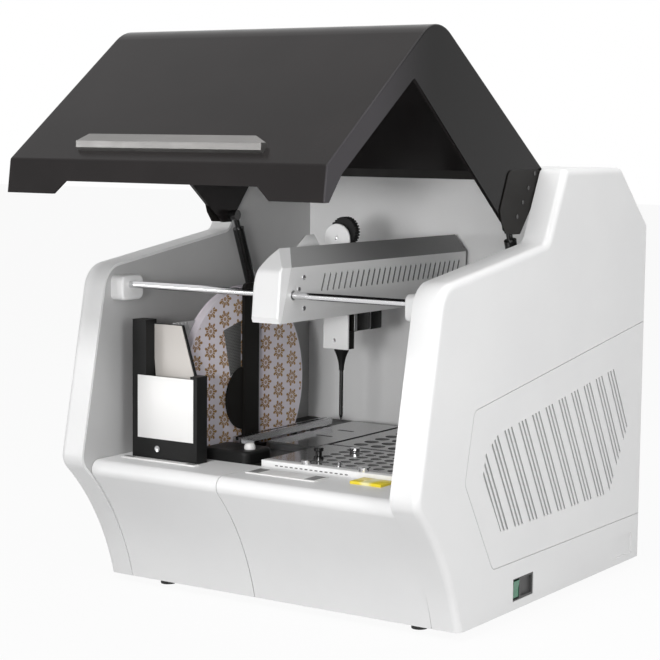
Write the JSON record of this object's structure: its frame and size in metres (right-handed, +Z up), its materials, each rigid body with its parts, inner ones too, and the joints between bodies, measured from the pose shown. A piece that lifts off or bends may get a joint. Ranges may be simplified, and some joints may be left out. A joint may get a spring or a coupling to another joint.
{
  "type": "coagulation analyzer",
  "caption": "Bench-top coagulation analyzer: white housing with a tinted lift-up lid, open chamber with a sliding pipetting arm, cuvette reel and racks.",
  "frame": {"origin": "on the table under the middle of the bounding box, with the lid open", "axes": "+X to the right seen from the front, +Y from the front to the back, +Z up"},
  "size_m": [0.6, 0.84, 0.8114],
  "materials": {
    "white_plastic": "fine moulded texture, satin",
    "grey_sheet": "satin paint",
    "galvanised_sheet": "plain sheet",
    "black_sheet": "satin black paint",
    "black_plastic": "satin",
    "rubber": "matte",
    "tinted_lid": "dark tinted, glossy",
    "silver": "satin",
    "steel": "bright",
    "strut_paint": "gloss black",
    "aluminium_block": "anodised",
    "smoked_plate": "glossy grey",
    "printed_reel": "printed film",
    "grey_plastic": "satin",
    "green_plastic": "gloss",
    "circuit_board": "solder mask"
  },
  "bodies": {
    "housing": {"base_tray": "galvanised_sheet", "control_board": "circuit_board", "cuvette_loader": "black_plastic", "cuvette_track": "steel", "deck_plate": "black_sheet", "fan_frame": "black_sheet", "feet": "rubber", "front_panel_left": "white_plastic", "front_panel_right": "white_plastic", "guide_rod": "steel", "hinge_pins": "steel", "hinge_rail": "black_sheet", "incubator_block": "aluminium_block", "inner_back_wall": "grey_sheet", "left_cheek": "white_plastic", "left_inner_wall": "grey_sheet", "left_vent_panel": "white_plastic", "mains_inlet": "black_plastic", "measuring_plate": "smoked_plate", "power_supply": "galvanised_sheet", "rack_front_strip": "white_plastic", "reagent_rack": "smoked_plate", "rear_panel": "grey_sheet", "rear_rail": "steel", "reel_post": "black_sheet", "right_cheek": "white_plastic", "right_inner_wall": "grey_sheet", "right_vent_panel": "white_plastic", "rod_brackets": "white_plastic", "sample_rack": "smoked_plate", "strut_mounts": "black_sheet", "switch_frame": "grey_plastic", "syringe_pump": "grey_plastic", "thumbscrews": "steel", "top_cover": "white_plastic", "track_sensor": "black_plastic", "x_motor": "black_plastic"},
    "lid": {"lid_shell": "tinted_lid", "lid_handle": "silver", "lid_hinge_brackets": "black_sheet", "lid_screws": "steel"},
    "strut_rods": {"strut_rods": "steel"},
    "strut_cylinders": {"strut_cylinders": "strut_paint"},
    "arm": {"arm_beam": "aluminium_block", "arm_end_cap": "white_plastic", "arm_cover": "grey_sheet", "rod_bush": "aluminium_block", "rear_carriage": "aluminium_block", "y_rail": "steel"},
    "probe_carriage": {"z_carriage": "black_sheet", "z_cover": "white_plastic", "z_motor": "black_plastic"},
    "belt_pulley": {"z_pulley": "black_plastic"},
    "probe": {"probe_slider": "steel", "probe_cone": "black_plastic", "probe_needle": "steel"},
    "reel": {"cuvette_reel": "printed_reel", "reel_hub": "black_plastic"},
    "rocker": {"rocker_switch": "green_plastic"},
    "fan": {"fan_rotor": "black_plastic"}
  },
  "joints": [
    {"name": "lid_hinge", "type": "hinge", "parent": "housing", "child": "lid", "pos_m": [0, 0.1465, 0.608], "axis": [1, 0, 0], "range_deg": [0, 42]},
    {"name": "strut_swing", "type": "hinge", "parent": "housing", "child": "strut_rods", "pos_m": [0, 0.1685, 0.301], "axis": [1, 0, 0], "range_deg": [-13.26, 0]},
    {"name": "strut_stroke", "type": "slide", "parent": "strut_rods", "child": "strut_cylinders", "axis": [0, -0.3717, 0.9283], "range_m": [-0.0499, 0]},
    {"name": "arm_slide", "type": "slide", "parent": "housing", "child": "arm", "axis": [1, 0, 0], "range_m": [-0.035, 0.175]},
    {"name": "carriage_slide", "type": "slide", "parent": "arm", "child": "probe_carriage", "axis": [0, 1, 0], "range_m": [-0.085, 0.1]},
    {"name": "probe_slide", "type": "slide", "parent": "probe_carriage", "child": "probe", "axis": [0, 0, 1], "range_m": [-0.036, 0]},
    {"name": "pulley_spin", "type": "hinge", "parent": "probe_carriage", "child": "belt_pulley", "pos_m": [-0.012, 0.037, 0.526], "axis": [0, 1, 0], "range_deg": [-95, 0]},
    {"name": "reel_spin", "type": "hinge", "parent": "housing", "child": "reel", "pos_m": [-0.172, 0, 0.288], "axis": [1, 0, 0], "continuous": true},
    {"name": "rocker_tilt", "type": "hinge", "parent": "housing", "child": "rocker", "pos_m": [0.288, 0.0065, 0.04], "axis": [0, 1, 0], "range_deg": [-9, 0]},
    {"name": "fan_spin", "type": "hinge", "parent": "housing", "child": "fan", "pos_m": [0.12, 0.405, 0.3], "axis": [0, 1, 0], "continuous": true}
  ],
  "couplings": [
    {"joint": "strut_swing", "follows": "lid_hinge", "ratio": -0.30374},
    {"joint": "strut_stroke", "follows": "lid_hinge", "m_per_rad": -0.066665},
    {"joint": "pulley_spin", "follows": "probe_slide", "rad_per_m": 45.455}
  ]
}
